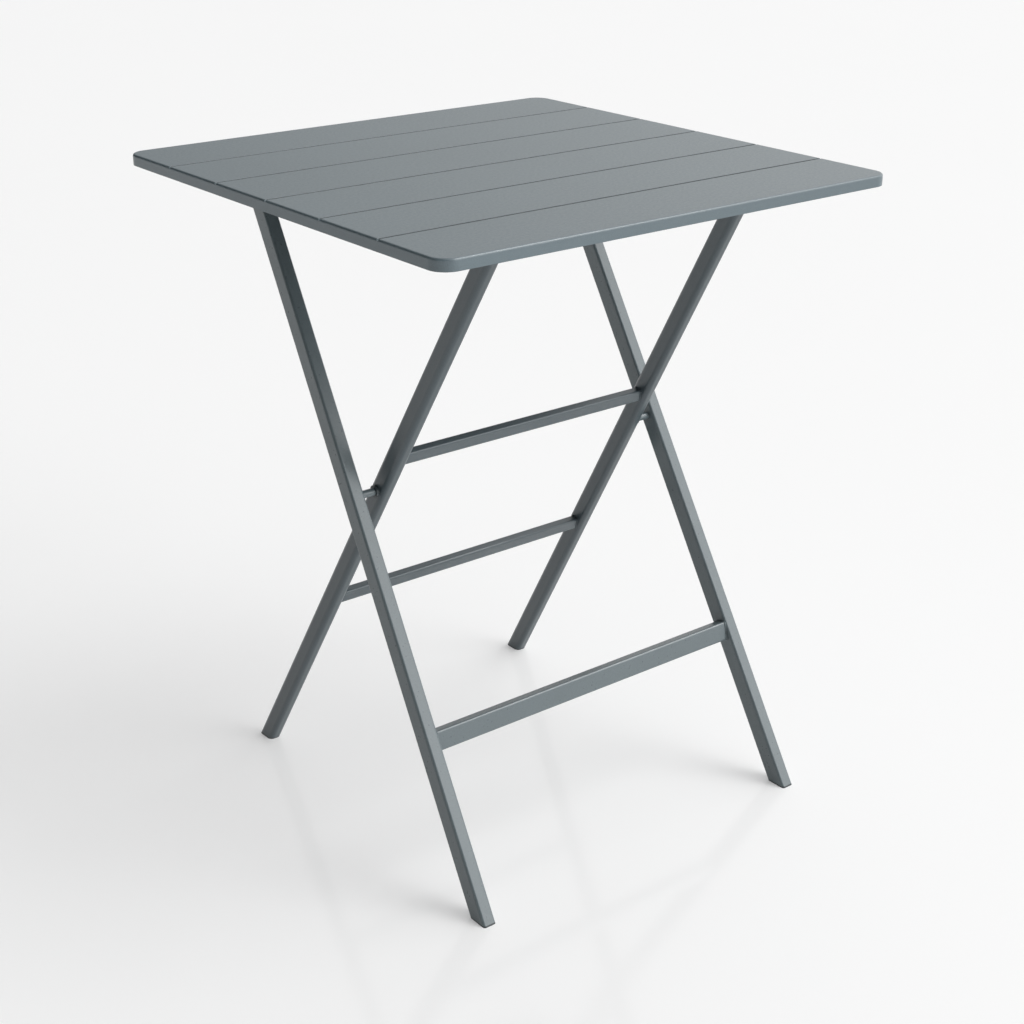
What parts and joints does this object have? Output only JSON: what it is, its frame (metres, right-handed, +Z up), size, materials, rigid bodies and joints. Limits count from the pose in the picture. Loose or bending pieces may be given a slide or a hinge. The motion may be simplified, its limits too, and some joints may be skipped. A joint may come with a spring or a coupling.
{
  "type": "folding bistro table",
  "caption": "Folding bistro table: square grooved tray top on two crossed tubular leg frames that scissor shut as the hinged top swings up.",
  "frame": {"origin": "on the floor, under the middle of the square top", "axes": "+X runs along the strips of the top, -Y is the side of the outer frame's feet, +Z is up"},
  "size_m": [0.6, 0.6, 0.75],
  "materials": {
    "top_coat": "satin fine-texture powder coat, slate grey",
    "frame_coat": "satin fine-texture powder coat, slate grey",
    "cap_plastic": "matt moulded plastic, dark slate",
    "bush_nylon": "matt moulded nylon, dark slate",
    "zinc_steel": "bright zinc plating"
  },
  "bodies": {
    "outer_frame": {"outer_leg_left": "frame_coat", "outer_leg_right": "frame_coat", "front_stretcher": "frame_coat", "outer_foot_left": "cap_plastic", "outer_foot_right": "cap_plastic", "outer_top_plug_left": "cap_plastic", "outer_top_plug_right": "cap_plastic", "pivot_stud_left": "frame_coat", "pivot_stud_right": "frame_coat", "pivot_washers": "bush_nylon", "hinge_bolt_left": "zinc_steel", "hinge_bolt_right": "zinc_steel", "hinge_washers": "zinc_steel", "hinge_spacers": "bush_nylon", "hinge_nuts": "zinc_steel"},
    "inner_frame": {"inner_leg_left": "frame_coat", "inner_leg_right": "frame_coat", "upper_stretcher": "frame_coat", "lower_stretcher": "frame_coat", "inner_foot_left": "cap_plastic", "inner_foot_right": "cap_plastic", "inner_top_plug_left": "cap_plastic", "inner_top_plug_right": "cap_plastic", "pivot_bush_left": "bush_nylon", "pivot_bush_right": "bush_nylon", "catch_rod": "zinc_steel", "catch_sleeve_left": "bush_nylon", "catch_sleeve_right": "bush_nylon", "rod_end_caps": "zinc_steel"},
    "tabletop": {"top_panel": "top_coat", "rail_left": "frame_coat", "rail_right": "frame_coat", "cross_brace_front": "frame_coat", "cross_brace_rear": "frame_coat", "rail_weld_studs": "zinc_steel", "rail_washers": "zinc_steel", "rail_nuts": "zinc_steel", "hinge_bush_left": "bush_nylon", "hinge_bush_right": "bush_nylon"}
  },
  "joints": [
    {"name": "top_swing", "type": "hinge", "parent": "outer_frame", "child": "tabletop", "pos_m": [0, 0.1548, 0.715], "axis": [-1, 0, 0], "range_deg": [0, 120]},
    {"name": "leg_fold", "type": "hinge", "parent": "outer_frame", "child": "inner_frame", "pos_m": [0, -0.0225, 0.414], "axis": [-1, 0, 0], "range_deg": [0, 55]}
  ],
  "couplings": [
    {"joint": "leg_fold", "follows": "top_swing", "ratio": 0.45833}
  ]
}
